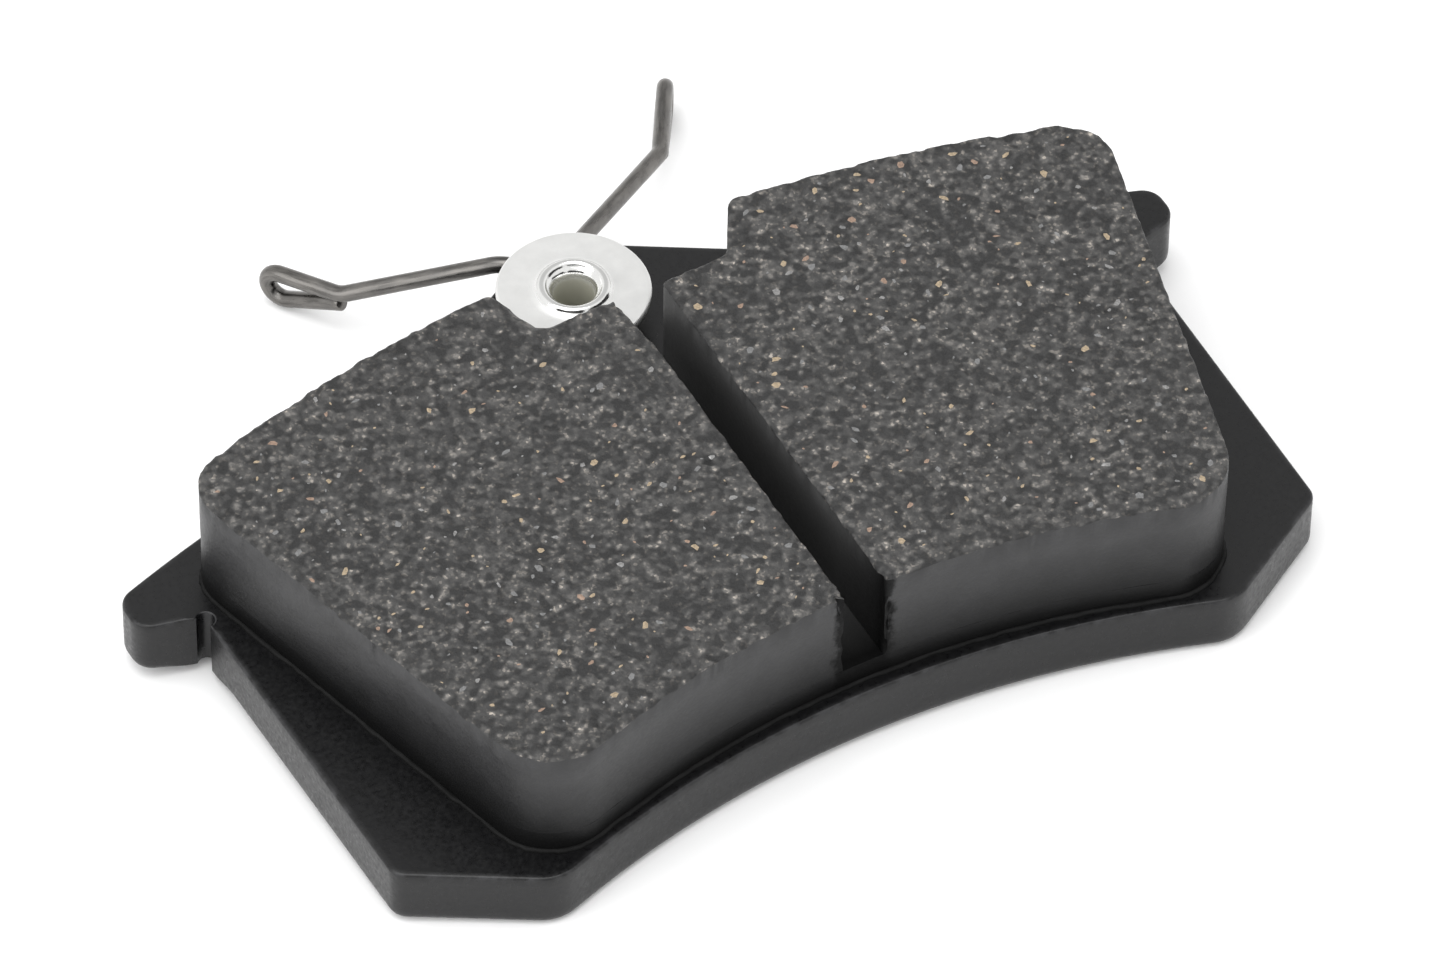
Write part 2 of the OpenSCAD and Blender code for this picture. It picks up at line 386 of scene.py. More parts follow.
def plateOutline():
    q, step = plate, plate["step"]
    low, lowRadius = q["lowArc"]
    high, highRadius = q["highArc"]
    toeWay = unit(q["toe"] - q["heel"])
    onEdge, mid, onArc = arcCorner(q["toe"], toeWay, vec(toeWay[1], -toeWay[0]),
                                   q["toeRadius"], low, lowRadius, 1)
    half = [low + vec(0, lowRadius)]
    arcTo(half, low, onArc, -1, step)
    arcTo(half, mid, onEdge, 1, step)
    roundEdge(half, *straightCorner(q["toe"], q["heel"], q["earRoot"], q["heelRadius"]), 1,
              step / 2)
    # up the side, round the small relief cut and out along the ear
    relief, r = q["reliefCentre"], q["reliefRadius"]
    sideWay = unit(q["earRoot"] - q["heel"])
    m = q["heel"] - relief
    b, c = float(m @ sideWay), float(m @ m) - r * r
    lineTo(half, q["heel"] + sideWay * (-b - math.sqrt(b * b - c)), step)
    earWay = unit(q["earLow"] - q["earRoot"])
    m = q["earRoot"] - relief
    b, c = float(m @ earWay), float(m @ m) - r * r
    arcTo(half, relief, q["earRoot"] + earWay * (-b + math.sqrt(b * b - c)), -1, step / 3)
    roundEdge(half, *straightCorner(q["earRoot"], q["earLow"], q["earLow"] + vec(0, 9),
                                    q["earRadius"]), 1, step / 2)
    onEdge, mid, onArc = arcCorner(q["earLow"], vec(0, 1), vec(-1, 0), q["earRadius"],
                                   high, highRadius, -1)
    roundEdge(half, onEdge, mid, onArc, 1, step / 2)
    tabWay = unit(q["tabCorner"] - q["tabFoot"])
    m = q["tabFoot"] - high
    b, c = float(m @ tabWay), float(m @ m) - highRadius ** 2
    arcTo(half, high, q["tabFoot"] + tabWay * (-b + math.sqrt(b * b - c)), 1, step)
    corner = q["tabCorner"]
    roundEdge(half, *straightCorner(q["tabFoot"], corner, corner * vec(-1, 1),
                                    q["tabRadius"]), 1, step / 2)
    lineTo(half, vec(0, corner[1]), step)
    return mirrorHalf(half)


def platePaint():
    q = plate
    material, tree, shader = newMaterial("platePaint")
    speckle = grainNode(tree, q["speckleSize"], 3.0)
    cloud = grainNode(tree, q["cloudSize"], 3.0)
    patchy = rangeNode(tree, grainNode(tree, q["rubSize"], 5.0), 0.0, 1.0, 0.42, 0.62)
    rub = mathNode(tree, "MULTIPLY", attributeNode(tree, "edgeRub"), patchy)
    paint = mixNode(tree, "MIX", cloud, opaque(q["paint"]), opaque(q["palePaint"]))
    shader.inputs["Specular IOR Level"].default_value = q["shine"]
    tree.links.new(mixNode(tree, "MIX", rub, paint, opaque(q["rubbed"])),
                   shader.inputs["Base Color"])
    tree.links.new(rangeNode(tree, speckle, q["gloss"] - 0.07, q["gloss"] + 0.12, 0.3, 0.7),
                   shader.inputs["Roughness"])
    orangePeel = bumpNode(tree, grainNode(tree, q["peelSize"], 2.0), q["peelDepth"])
    tree.links.new(bumpNode(tree, speckle, q["speckleDepth"], orangePeel),
                   shader.inputs["Normal"])
    return material


def buildPlate():
    q = plate
    ring = plateOutline()
    inward = inwardNormals(ring)
    # the punched edge rolls over least in the tight corners beside the ears and tab
    nearEar, nearTab = (np.minimum(distances(ring, spot), distances(ring, spot * vec(-1, 1)))
                        for spot in (q["reliefCentre"], q["tabFoot"]))
    tight = np.minimum(nearEar, nearTab) - q["tightFrom"]
    rolled = q["rolledLeast"] + (q["rolledEdge"] - q["rolledLeast"]) \
        * eased(tight / q["tightRun"])
    topEdge = np.full(len(ring), q["topEdge"])
    topEdge[nearEar < 1.2] = q["topEdgeByEar"]
    rings, rub = [], []
    steps = 5
    for k in range(steps + 1):
        a = math.pi / 2 * k / steps
        flat = ring + inward * (rolled * (1 - math.sin(a)))[:, None]
        rings.append(np.column_stack([flat, rolled * (1 - math.cos(a))]))
        rub.append(q["rolledRub"])
    for height in np.linspace(1.4, 4.2, 4):
        rings.append(atHeight(ring, height))
        rub.append(0.0)
    for k, amount in enumerate(q["topRub"]):
        a = math.pi / 2 * k / 3
        flat = ring + inward * (topEdge * (1 - math.cos(a)))[:, None]
        rings.append(np.column_stack([flat, q["thickness"] - topEdge * (1 - math.sin(a))]))
        rub.append(amount)
    # a last ring keeps the worn edge from spreading over the flat top
    rimInset = np.where(nearEar < 1.6, q["rimInsetByEar"], q["rimInset"])
    rings.append(atHeight(ring + inward * (topEdge + rimInset)[:, None], q["thickness"]))
    rub.append(0.0)
    shell = Shell()
    numbers = [shell.ring(r) for r in rings]
    shell.walls(numbers)
    bore = [shell.ring(circle(q["holeCentre"], r, z, 64))
            for r, z in ((q["sinkRadius"], 0.0), (q["holeRadius"], q["sinkDepth"]),
                         (q["holeRadius"], q["thickness"]))]
    for lower, upper in zip(bore, bore[1:]):
        shell.wall(upper, lower)
    shell.cap(numbers[0], False, hole=bore[0])
    shell.cap(numbers[-1], True, hole=bore[-1])
    obj = shell.build("backingPlate", [platePaint()], 40.0)
    values = np.zeros(len(obj.data.vertices))
    for own, amount in zip(numbers, rub):
        values[own] = amount
    placeNoise("edgeRub", values, obj)
    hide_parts("backing_plate")
    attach(obj, "pad")


# the lining is an adhesive film, an underlayer and two friction blocks
lining = {
    "filmBottom": 5.0, "filmTop": 5.3, "floor": 7.0, "top": 15.0,
    "foot": vec(30, -19.6), "slope": 7.2 / 27.1,
    "lowArc": (vec(0, -94.2), 74.0), "highArc": (vec(0, -100.5), 119.0),
    "lowCorner": 5.0, "highCorner": 4.0,
    "cutFloor": 13.2, "cutHalf": 7.2, "cutTop": vec(10.2, 18.5),
    "cutRadius": 2.0, "cutTopRadius": 1.3,
    "slotHalf": 1.65, "slotCorner": 0.6, "filmGrown": 0.35, "step": 0.3,
}


def liningHalf(grown=0.0, fromX=0.0):
    q, step = lining, lining["step"]
    low, lowRadius = q["lowArc"][0], q["lowArc"][1] - grown
    high, highRadius = q["highArc"][0], q["highArc"][1] + grown
    rise = unit(vec(q["slope"], 1))
    inward = vec(-rise[1], rise[0])
    foot = q["foot"] - inward * grown
    half = [low + vec(fromX, math.sqrt(lowRadius ** 2 - fromX ** 2))]
    onEdge, mid, onArc = arcCorner(foot, -rise, inward, q["lowCorner"] + grown, low,
                                   lowRadius, 1)
    arcTo(half, low, onArc, -1, step)
    arcTo(half, mid, onEdge, 1, step)
    roundEdge(half, *arcCorner(foot, rise, inward, q["highCorner"] + grown, high,
                               highRadius, -1), 1, step)
    flank = unit(q["cutTop"] - vec(q["cutHalf"], q["cutFloor"]))
    side = vec(flank[1], -flank[0])
    start = vec(q["cutHalf"], q["cutFloor"]) - side * grown
    onEdge, mid, onArc = arcCorner(start, flank, side, q["cutTopRadius"] + grown, high,
                                   highRadius, -1)
    arcTo(half, high, onArc, 1, step)
    arcTo(half, mid, onEdge, 1, step / 2)
    floorY = q["cutFloor"] + grown
    corner = vec(q["cutHalf"] - grown * (1 - flank[0]) / flank[1], floorY)
    away, mid, along = straightCorner(corner + flank * 5, corner, vec(0, floorY),
                                      q["cutRadius"])
    lineTo(half, away, step)
    arcTo(half, mid, along, -1, step / 2)
    if fromX == 0:
        lineTo(half, vec(0, floorY), step)
        return half
    inner = vec(fromX, floorY)
    roundEdge(half, *straightCorner(vec(5, floorY), inner, vec(fromX, 0), q["slotCorner"]),
              1, step / 2)
    lineTo(half, vec(fromX, half[0][1] + step), step)
    return half


friction = {
    "seed": {1: 11, -1: 23}, "levels": (0, 0.08, 0.18, 0.3, 0.42, 0.54, 0.66, 0.76),
    "footIn": 0.02, "wallIn": 0.06, "wallRuffle": 0.05, "edgeRuffle": 0.09,
    "edgeWear": (0.10, 0.42), "chipSize": 1.6, "fineChipSize": 0.6,
    "mouthReach": 1.1, "mouthIn": 0.30, "biteSize": 0.9, "biteIn": 0.9,
    "brokenAt": vec(-8.5, 14.4), "brokenReach": 3.4, "brokenIn": 1.35, "brokenDown": 1.7,
    "cornerFrom": 7.0, "cornerRun": 6.2, "cornerIn": 0.85, "cornerDown": 1.5,
    "gridStep": 0.34, "jitter": 0.30, "rimGap": 0.16, "grainDepth": 0.085, "pitDepth": 0.22,
    "flakes": 250, "flakeGap": 0.7, "flakeRim": 0.62, "flakeSides": 6, "flakeTilt": 0.10,
    "flakeLeast": 0.13, "flakeSpread": 0.33, "flakeShares": (0.30, 0.18, 0.17, 0.35),
    "cellSize": 0.48, "fineSize": 0.21, "patchSize": 1.3, "reliefSize": 0.5,
    "gritSize": 0.22, "faceDepth": 0.10,
    "dark": (0.014, 0.014, 0.0142), "mid": (0.046, 0.0455, 0.045),
    "pale": (0.076, 0.074, 0.072), "light": (0.160, 0.153, 0.145),
    "wallDark": (0.011, 0.011, 0.0115), "wall": (0.017, 0.017, 0.018),
    "wallPale": (0.024, 0.024, 0.025), "wallShadeColour": (0.003, 0.003, 0.003),
    "sawn": (0.055, 0.055, 0.055), "wallGloss": 0.40, "wallShineByShade": (0.06, 0.50),
    "wallCloudSize": 3.0, "wallFineSize": 0.3, "wallFineDepth": 0.022,
    "waveSize": 1.5, "waveDepth": 0.05, "shadeLeast": 0.08, "footShadeSpan": (6.0, 12.5),
    "slotShadeSize": 1.1, "slotShadeIn": 2.2, "slotShadeSpan": (0.95, 1.45),
    "sawnAcross": (1.85, 2.05), "sawnAlong": (-19.5, -13.5),
    "brass": (0.48, 0.38, 0.26), "copper": (0.38, 0.265, 0.20), "steel": (0.36, 0.355, 0.35),
    "mineral": (0.19, 0.19, 0.19),
}


def frictionFace():
    # cut face of the lining: grains of several sizes pressed together
    q = friction
    material, tree, shader = newMaterial("frictionFace")
    cells = addNode(tree, "ShaderNodeSeparateColor",
                    Color=cellNode(tree, q["cellSize"], "SMOOTH_F1")).outputs["Red"]
    fine = addNode(tree, "ShaderNodeSeparateColor",
                   Color=cellNode(tree, q["fineSize"])).outputs["Green"]
    base = rampNode(tree, cells, [(0.2, q["dark"]), (0.5, q["mid"]), (0.75, q["pale"]),
                                  (0.95, q["light"])])
    speck = rampNode(tree, fine, [(0.0, (0.45, 0.45, 0.45)), (0.5, (0.9, 0.9, 0.9)),
                                  (0.86, (1.35, 1.33, 1.3)), (1.0, (3.4, 3.2, 2.95))])
    patches = rampNode(tree, grainNode(tree, q["patchSize"], 6.0, 0.7),
                       [(0.3, (0.5, 0.5, 0.5)), (0.55, (1.05, 1.04, 1.03)),
                        (0.8, (1.6, 1.57, 1.52))])
    mixed = mixNode(tree, "MULTIPLY", 0.8, base, speck)
    tree.links.new(mixNode(tree, "MULTIPLY", 0.75, mixed, patches),
                   shader.inputs["Base Color"])
    tree.links.new(rangeNode(tree, fine, 0.42, 0.85), shader.inputs["Roughness"])
    relief = bumpNode(tree, cellNode(tree, q["reliefSize"], "SMOOTH_F1", "Distance"),
                      q["faceDepth"])
    tree.links.new(bumpNode(tree, grainNode(tree, q["gritSize"], 4.0, 0.7), q["faceDepth"],
                            relief), shader.inputs["Normal"])
    return material


def frictionWall():
    # moulded side of the lining
    q = friction
    material, tree, shader = newMaterial("frictionWall")
    fine = grainNode(tree, q["wallFineSize"], 4.0, 0.6)
    tone = rampNode(tree, grainNode(tree, q["wallCloudSize"], 5.0, 0.6),
                    [(0.3, q["wallDark"]), (0.55, q["wall"]), (0.75, q["wallPale"])])
    # the wall's own dark grey, with painted shade that darkens it towards the foot beside the
    # plate and in the torn mouth of the slot
    place = addNode(tree, "ShaderNodeSeparateXYZ", Vector=placeNode(tree))
    across = mathNode(tree, "ABSOLUTE", place.outputs["X"])
    # painted shade in the slot: the nearer the slot, the darker, along an edge roughened by
    # noise
    torn = mathNode(tree, "MULTIPLY_ADD", grainNode(tree, q["slotShadeSize"], 5.0, 0.7),
                    -q["slotShadeIn"] * mm, across)
    # painted shade: the colour goes towards near black low on the wall and beside the slot
    shade = mathNode(tree, "MULTIPLY",
                     spanNode(tree, place.outputs["Z"], q["footShadeSpan"], q["shadeLeast"], 1.0),
                     spanNode(tree, torn, q["slotShadeSpan"], q["shadeLeast"], 1.0))
    # sawn surfaces inside the slot keep the lighter colour of the mix
    sawn = mathNode(tree, "MULTIPLY", spanNode(tree, across, q["sawnAcross"], 1.0, 0.0),
                    spanNode(tree, place.outputs["Y"], q["sawnAlong"], 0.0, 1.0))
    shaded = mixNode(tree, "MIX", shade, opaque(q["wallShadeColour"]), tone)
    tree.links.new(mixNode(tree, "MIX", sawn, shaded, opaque(q["sawn"])),
                   shader.inputs["Base Color"])
    # the painted shade also dims the wall's shine
    tree.links.new(rangeNode(tree, shade, *q["wallShineByShade"]),
                   shader.inputs["Specular IOR Level"])
    tree.links.new(rangeNode(tree, fine, q["wallGloss"] - 0.08, q["wallGloss"] + 0.15),
                   shader.inputs["Roughness"])
    waves = bumpNode(tree, grainNode(tree, q["waveSize"], 3.0), q["waveDepth"])
    tree.links.new(bumpNode(tree, fine, q["wallFineDepth"], waves), shader.inputs["Normal"])
    return material


def flakeMaterial(name, colour, gloss, metal):
    material, tree, shader = newMaterial(name)
    tone = rampNode(tree, grainNode(tree, 0.15, 3.0),
                    [(0.3, scaled(colour, 0.55)), (0.7, colour)])
    tree.links.new(tone, shader.inputs["Base Color"])
    shader.inputs["Metallic"].default_value = metal
    tree.links.new(rangeNode(tree, grainNode(tree, 0.1, 2.0), gloss - 0.1, gloss + 0.15),
                   shader.inputs["Roughness"])
    tree.links.new(bumpNode(tree, grainNode(tree, 0.12, 2.0), 0.02), shader.inputs["Normal"])
    return material


def makeFlakes(rand, ring):
    # slivers of metal and pale mineral lying in the cut face
    q, count, sides = friction, friction["flakes"], friction["flakeSides"]
    centres = np.empty((0, 2))
    flakes, kinds = [], []
    tries = rand.uniform(ring.min(0), ring.max(0), (count * 8, 2))
    inside, gap = insideRing(tries, ring)
    for point in tries[inside & (gap > q["flakeRim"])]:
        if len(flakes) >= count:
            break
        if len(centres) and distances(centres, point).min() < q["flakeGap"]:
            continue
        centres = np.vstack([centres, point])
        kind = rand.choice([0, 1, 2, 3], p=q["flakeShares"])
        length = q["flakeLeast"] + q["flakeSpread"] * rand.uniform(0, 1) ** 2
        width = length * rand.uniform(0.45, 0.85)
        turn = rand.uniform(0, math.pi)
        along, across = vec(math.cos(turn), math.sin(turn)), vec(-math.sin(turn), math.cos(turn))
        shape = [(math.cos(a) * rand.uniform(0.6, 1.1), math.sin(a) * rand.uniform(0.5, 1.1))
                 for a in (k * 2 * math.pi / sides + rand.uniform(-0.3, 0.3)
                           for k in range(sides))]
        flakes.append([point + along * length * a + across * width * b for a, b in shape])
        kinds.append(kind)
    return centres, flakes, kinds


def faceGrid(rand, ring, flakes):
    # points of the cut face between the flakes, in rows that are shaken a little
    step = friction["gridStep"]
    low, high = ring.min(0), ring.max(0)
    grid = np.array([(x + (step / 2 if row % 2 else 0), y)
                     for row, y in enumerate(np.arange(low[1], high[1], step * 0.87))
                     for x in np.arange(low[0], high[0], step)])
    grid += rand.uniform(-1, 1, grid.shape) * step * friction["jitter"]
    inside, gap = insideRing(grid, ring)
    grid = grid[inside & (gap > friction["rimGap"])]
    clear = np.ones(len(grid), bool)
    for flake in flakes:
        middle = np.mean(flake, 0)
        clear &= distances(grid, middle) > distances(flake, middle).max() * 0.8 + 0.05
    return grid[clear]


def wornEdge(ring, side, seed):
    # how far in and down the upper edge has crumbled, and how near the slot's mouth it is
    q = friction
    low, high = q["edgeWear"]
    chips = 0.35 + grainAlong(ring, seed, q["chipSize"]) \
        + 0.7 * grainAlong(ring, seed + 9, q["fineChipSize"])
    wear = low + (high - low) * np.maximum(0.0, chips)
    depth = wear * 0.9
    slotMouth = vec(side * lining["slotHalf"], ring[:, 1][np.abs(ring[:, 0]) < 1.7].min())
    mouth = np.clip(1 - distances(ring, slotMouth) / q["mouthReach"], 0, 1)
    wear += mouth * q["mouthIn"]
    if side < 0:
        # edge broken away beside the rivet, and at the slot's inner corner
        broken = eased(1 - distances(ring, q["brokenAt"]) / q["brokenReach"])
        corner = np.clip((ring[:, 1] - q["cornerFrom"]) / q["cornerRun"], 0, 1) \
            * (np.abs(ring[:, 0]) < 2.2)
        wear += broken * q["brokenIn"] + corner * q["cornerIn"]
        depth += broken * q["brokenDown"] + corner * q["cornerDown"]
    return wear, depth, mouth


def blockRings(ring, side, seed):
    # from the underlayer up the wall, then over the crumbled edge to the cut face
    q = friction
    bottom, top = lining["floor"], lining["top"]
    inward = inwardNormals(ring)
    push = softened(inward)
    wear, depth, mouth = wornEdge(ring, side, seed)

    def bite(z):
        # what is torn out of the wall at the slot's mouth
        torn = np.maximum(0.0, grainAlong(ring * 2, z, q["biteSize"]))
        return mouth ** 0.5 * torn * q["biteIn"]

    rings = []
    for f in q["levels"]:
        z = bottom + (top - bottom) * f
        ruffle = q["wallRuffle"] * grainAlong(ring, z + seed, 2.2)
        flat = ring + push * (q["wallIn"] + ruffle + bite(z + seed))[:, None]
        if f == 0:
            flat = ring + inward * q["footIn"]
        rings.append(np.column_stack([flat, np.minimum(z, top - depth - 0.3)]))
    for t in (0.0, 0.3, 0.6, 0.85, 1.0):
        ruffle = q["edgeRuffle"] * grainAlong(ring, seed + t * 3, 0.7) * (t > 0)
        worn = q["wallIn"] + wear * t ** 1.7 + ruffle + bite(14 + seed + t)
        height = top - 0.05 - depth * (1 - t) ** 1.3
        rings.append(np.column_stack([ring + push * worn[:, None], height]))
    return rings


def buildFriction(name, node, side, materials):
    q = friction
    half = np.array(liningHalf(0.0, lining["slotHalf"]))
    ring = half if side > 0 else (half * vec(-1, 1))[::-1]
    seed = q["seed"][side]
    rand = np.random.RandomState(seed)
    rings = blockRings(ring, side, seed)
    shell = Shell()
    numbers = [shell.ring(r) for r in rings]
    for k, (lower, upper) in enumerate(zip(numbers, numbers[1:])):
        shell.wall(lower, upper, 1 if k < len(q["levels"]) else 0)
    edge = rings[-1][:, :2]
    centres, flakes, kinds = makeFlakes(rand, edge)
    grid = faceGrid(rand, edge, flakes)
    tilt = rand.uniform(-q["flakeTilt"], q["flakeTilt"], (len(flakes), 2))

    def heights(p, number):
        if 0 <= number < len(flakes) * q["flakeSides"]:
            own = number // q["flakeSides"]
            return lining["top"] - 0.03 - abs(float(tilt[own] @ (p - centres[own])))
        rough = grain(p[0], p[1], seed, 0.55) + 0.8 * grain(p[0], p[1], seed + 5, 0.3)
        pit = max(0.0, grain(p[0], p[1], seed + 31, 1.1) - 0.30) * 2.2
        return lining["top"] - 0.01 - q["grainDepth"] * (0.55 + 0.5 * rough) \
            - q["pitDepth"] * pit

    shell.cap(numbers[-1], True, heights, 0, extra=grid, flakes=flakes,
              flakeSlots=[2 + kind for kind in kinds])
    shell.cap(numbers[0], False, slot=1)
    obj = shell.build(name, materials, 50.0)
    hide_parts(node)
    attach(obj, "pad")


underlayer = {
    "levels": ((lining["filmTop"], 0.05), (5.7, 0.03), (6.4, 0.05), (lining["floor"], 0.02)),
    "ruffle": 0.03, "ruffleSize": 2.0,
}


def buildUnderlayer(wallMaterial):
    # each level has its height and how far it is set in
    q = underlayer
    ring = mirrorHalf(liningHalf())
    inward = inwardNormals(ring)
    shell = Shell()
    numbers = []
    for z, cut in q["levels"]:
        ruffle = q["ruffle"] * grainAlong(ring, z, q["ruffleSize"])
        numbers.append(shell.ring(atHeight(ring + inward * (cut + ruffle)[:, None], z)))
    shell.walls(numbers)
    shell.cap(numbers[0], False)
    shell.cap(numbers[-1], True)
    obj = shell.build("liningUnderlayer", [wallMaterial])
    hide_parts("underlayer")
    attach(obj, "pad")


bond = {
    "colour": (0.007, 0.007, 0.007), "gloss": 0.5, "shine": 0.12, "ragged": 0.16,
    "levels": ((0.0, 0.17), (0.35, 0.17), (0.7, 0.21), (0.92, 0.29), (1.0, 0.41)),
}


def buildBond():
    # thin film squeezed out in an uneven line round the foot of the lining; each level
    # has its share of the thickness and how far it is set in
    q = bond
    ring = mirrorHalf(liningHalf(lining["filmGrown"]))
    inward = inwardNormals(ring)
    ragged = q["ragged"] * (grainAlong(ring, 3, 1.7) + 0.5 * grainAlong(ring, 8, 0.5))
    low, high = lining["filmBottom"], lining["filmTop"]
    shell = Shell()
    numbers = []
    for rise, cut in q["levels"]:
        numbers.append(shell.ring(atHeight(ring + inward * (cut + ragged)[:, None],
                                           low + (high - low) * rise)))
    shell.walls(numbers)
    shell.cap(numbers[0], False)
    shell.cap(numbers[-1], True)
    material, tree, shader = newMaterial("adhesiveFilm")
    tree.links.new(rampNode(tree, grainNode(tree, 1.5, 4.0),
                            [(0.35, scaled(q["colour"], 0.5)), (0.65, q["colour"])]),
                   shader.inputs["Base Color"])
    shader.inputs["Specular IOR Level"].default_value = q["shine"]
    tree.links.new(rangeNode(tree, grainNode(tree, 0.4, 3.0), q["gloss"] - 0.1,
                             q["gloss"] + 0.2), shader.inputs["Roughness"])
    tree.links.new(bumpNode(tree, grainNode(tree, 0.5, 3.0), 0.03), shader.inputs["Normal"])
    obj = shell.build("bondLayer", [material], 50.0)
    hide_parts("bond_layer")
    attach(obj, "pad")


rivet = {
    "centre": vec(-1.35, 20.9), "bore": 1.5, "shank": 2.15, "flange": 5.8,
    "flangeLow": 7.9, "flangeTop": 8.5, "flangeRound": 0.24, "lip": 2.7, "lipRise": 0.45,
    "tail": 3.25, "tailLow": 0.1, "tailDepth": 1.25, "sides": 128,
    "colour": (0.77, 0.77, 0.757), "boreDullAndLit": (0.50, 0.495, 0.42), "gloss": 0.38,
    "lipGloss": 0.14, "metal": (0.25, 0.72), "brightSpan": (7.6, 8.3), "lipSpan": (2.8, 3.0),
    "cloudSize": 1.4, "fineSize": 0.12, "fineDepth": 0.006, "pressedDepth": 0.004,
    "pressedScale": 260.0,
}


def rivetZinc():
    q = rivet
    material, tree, shader = newMaterial("rivetZinc")
    fine = grainNode(tree, q["fineSize"], 3.0)
    where = placeNode(tree)
    height = addNode(tree, "ShaderNodeSeparateXYZ", Vector=where).outputs["Z"]
    # the plating is dull olive and less metallic down in the bore, partly its own duller finish
    # and partly painted light that brightens the bore's far wall
    bright = spanNode(tree, height, q["brightSpan"], 0.0, 1.0)
    tone = rampNode(tree, grainNode(tree, q["cloudSize"], 4.0),
                    [(0.25, scaled(q["colour"], 0.9)), (0.7, q["colour"])])
    tree.links.new(mixNode(tree, "MIX", bright, opaque(q["boreDullAndLit"]), tone),
                   shader.inputs["Base Color"])
    # faint pressing rings round the middle, and a lip polished by the riveting tool
    centred = vectorNode(tree, "SUBTRACT", "Vector", where, (*(q["centre"] * mm), 0))
    flat = vectorNode(tree, "MULTIPLY", "Vector", centred, (1, 1, 0))
    away = vectorNode(tree, "LENGTH", "Value", flat)
    lip = mathNode(tree, "MULTIPLY", spanNode(tree, away, q["lipSpan"], 1.0, 0.0), bright)
    metal = mathNode(tree, "MAXIMUM", rangeNode(tree, bright, *q["metal"]), lip)
    tree.links.new(metal, shader.inputs["Metallic"])
    plain = rangeNode(tree, fine, q["gloss"] - 0.06, q["gloss"] + 0.1)
    tree.links.new(mixNode(tree, "MIX", lip, plain, opaque((q["lipGloss"],) * 3)),
                   shader.inputs["Roughness"])
    rings = addNode(tree, "ShaderNodeTexWave", {"wave_type": "RINGS", "rings_direction": "Z"},
                    Vector=centred, Scale=q["pressedScale"], Distortion=1.5, Detail=2.0)
    pressed = bumpNode(tree, rings.outputs["Fac"], q["pressedDepth"])
    tree.links.new(bumpNode(tree, fine, q["fineDepth"], pressed), shader.inputs["Normal"])
    return material


def buildRivet():
    q = rivet
    top, lip = q["flangeTop"], q["lip"]
    profile = [(q["bore"] + 0.9, q["tailLow"]), (q["tail"] - 0.35, q["tailLow"]),
               (q["tail"] - 0.12, q["tailLow"] + 0.04), (q["tail"] - 0.05, 0.24),
               (q["shank"] + 0.3, 1.0), (q["shank"], q["tailDepth"]),
               (q["shank"], q["flangeLow"] - 0.1), (q["shank"] + 0.12, q["flangeLow"]),
               (q["flange"] - 0.16, q["flangeLow"]), (q["flange"] - 0.04, q["flangeLow"] + 0.05)]
    for k in range(7):
        a = math.pi / 2 * k / 6
        profile.append((q["flange"] - q["flangeRound"] * (1 - math.cos(a)),
                        top - q["flangeRound"] * (1 - math.sin(a))))
    profile += [(5.2, top), (4.2, top), (lip + 0.75, top - 0.01), (lip + 0.45, top + 0.03),
                (lip + 0.22, top + 0.12)]
    # rolled lip, then the funnel down into the bore
    for k in range(9):
        a = math.radians(10 + 160 * k / 8)
        profile.append((lip - 0.3 + 0.36 * math.cos(a), top + q["lipRise"] - 0.3
                        + 0.3 * math.sin(a)))
    for k in range(1, 9):
        f = k / 8
        profile.append((lip - 0.66 - (lip - 0.66 - q["bore"]) * math.sin(f * math.pi / 2),
                        top + 0.15 - 1.35 * (1 - math.cos(f * math.pi / 2))))
    profile += [(q["bore"], 6.0), (q["bore"], 4.0), (q["bore"], q["tailDepth"] + 0.6),
                (q["bore"] + 0.12, q["tailDepth"] + 0.2), (q["bore"] + 0.5, 0.6),
                (q["bore"] + 0.8, 0.25)]
    shell = Shell()
    numbers = [shell.ring(circle(q["centre"], r, z, q["sides"])) for r, z in profile]
    shell.walls(numbers + numbers[:1])
    obj = shell.build("tubularRivet", [rivetZinc()], 50.0)
    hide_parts("rivet")
    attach(obj, "pad")


spring = {
    "wireRadius": 0.65, "coilRadius": 3.0, "armAngle": math.radians(35.1), "armStart": 6.8,
    "lowWire": 5.75, "highWire": 7.15, "reach": {1: 14.5, -1: 11.8}, "hookHeight": 2.4,
    "heading": math.radians(58.5), "rise": math.radians(-6), "leg": {1: 7.5, -1: 5.3},
    "bend": 1.25, "bendSteps": 18, "curl": math.radians(18.5), "rootBend": 3.0,
    "elbowBend": 2.2, "flex": 1.1, "join": 1.32, "coilSteps": 60,
    "sides": 20, "step": 0.22, "endBevel": 0.1, "coilLength": 40.0,
    "colour": (0.175, 0.169, 0.162), "gloss": 0.24, "cloudSize": 2.2, "drawnDepth": 0.012,
}


def springSteel():
    # faint lines drawn along the wire, which follow it round its bends
    q = spring
    material, tree, shader = newMaterial("springSteel")
    where = addNode(tree, "ShaderNodeCombineXYZ", X=attributeNode(tree, "wireTurn"),
                    Y=attributeNode(tree, "wireLength")).outputs["Vector"]
    drawn = addNode(tree, "ShaderNodeTexNoise", Vector=where, Scale=1.0, Detail=3.0,
                    Roughness=0.6).outputs["Fac"]
    tone = rampNode(tree, drawn, [(0.3, scaled(q["colour"], 0.6)), (0.55, q["colour"]),
                                  (0.75, scaled(q["colour"], 1.35))])
    patch = rampNode(tree, grainNode(tree, q["cloudSize"], 4.0),
                     [(0.3, (0.75, 0.75, 0.75)), (0.7, (1.1, 1.08, 1.05))])
    tree.links.new(mixNode(tree, "MULTIPLY", 0.8, tone, patch), shader.inputs["Base Color"])
    shader.inputs["Metallic"].default_value = 1.0
    tree.links.new(rangeNode(tree, drawn, q["gloss"] - 0.08, q["gloss"] + 0.18, 0.3, 0.7),
                   shader.inputs["Roughness"])
    tree.links.new(bumpNode(tree, drawn, q["drawnDepth"]), shader.inputs["Normal"])
    return material


